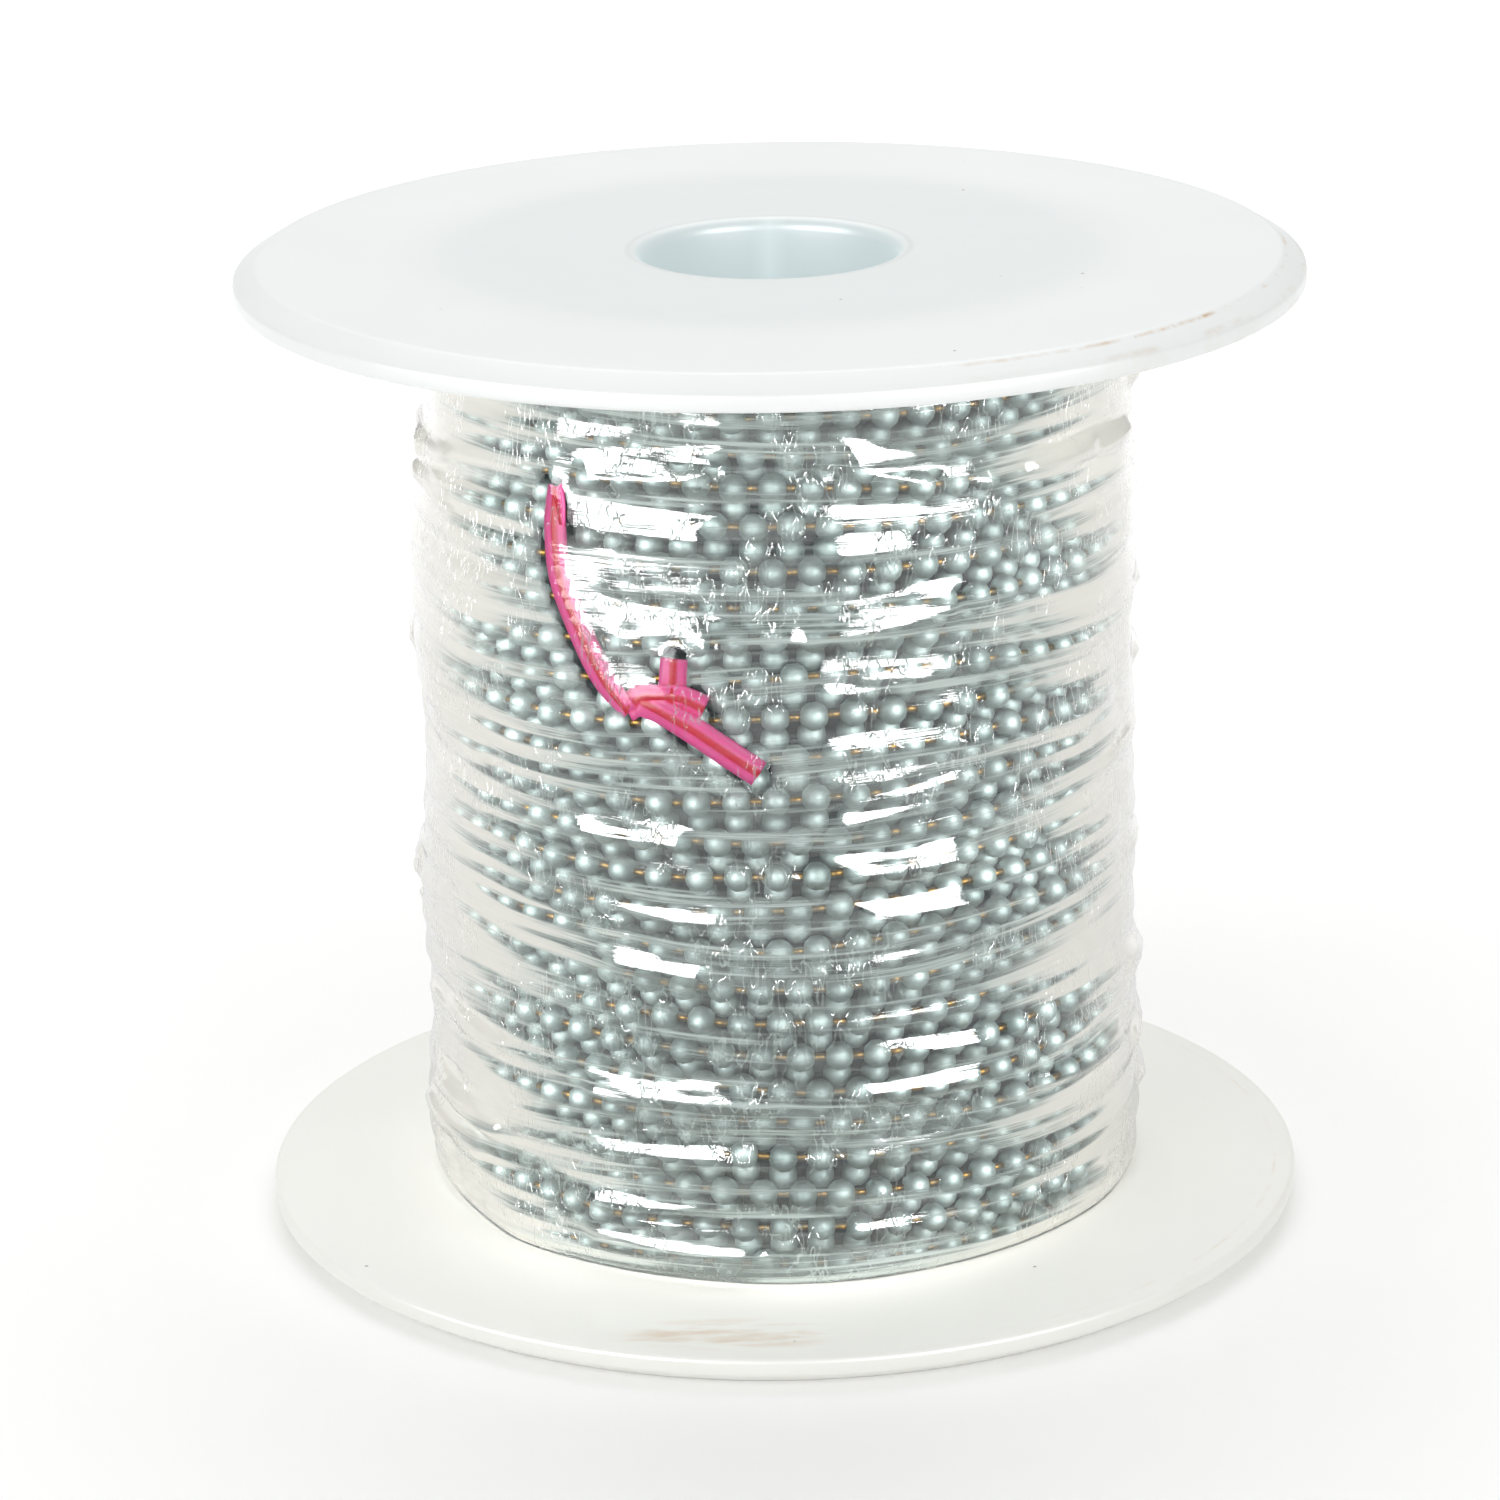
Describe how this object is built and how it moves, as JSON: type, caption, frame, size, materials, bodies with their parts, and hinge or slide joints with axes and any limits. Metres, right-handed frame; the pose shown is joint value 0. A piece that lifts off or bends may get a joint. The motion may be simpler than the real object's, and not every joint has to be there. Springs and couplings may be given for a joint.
{
  "type": "roller blind ball chain on a spool",
  "caption": "Full spool of metal roller blind ball chain, tied off with a twist tie and wrapped in clear stretch film, on a white plastic spool with a through bore.",
  "frame": {"origin": "centre of the underside of the lower flange, on the spool's axis", "axes": "+Z along the spool's axis, up; the twist tie is on the -Y side, which is the front"},
  "size_m": [0.165, 0.165, 0.1545],
  "materials": {
    "spool": "moulded natural polyethylene, slightly translucent",
    "chain": "nickel-plated steel balls with brass links",
    "tie": "pink plastic strip with a wire core",
    "film": "clear stretch film, glossy and creased"
  },
  "bodies": {
    "root": {"spool": "spool", "wound_chain": "chain", "twist_tie": "tie", "stretch_film": "film"}
  },
  "joints": []
}
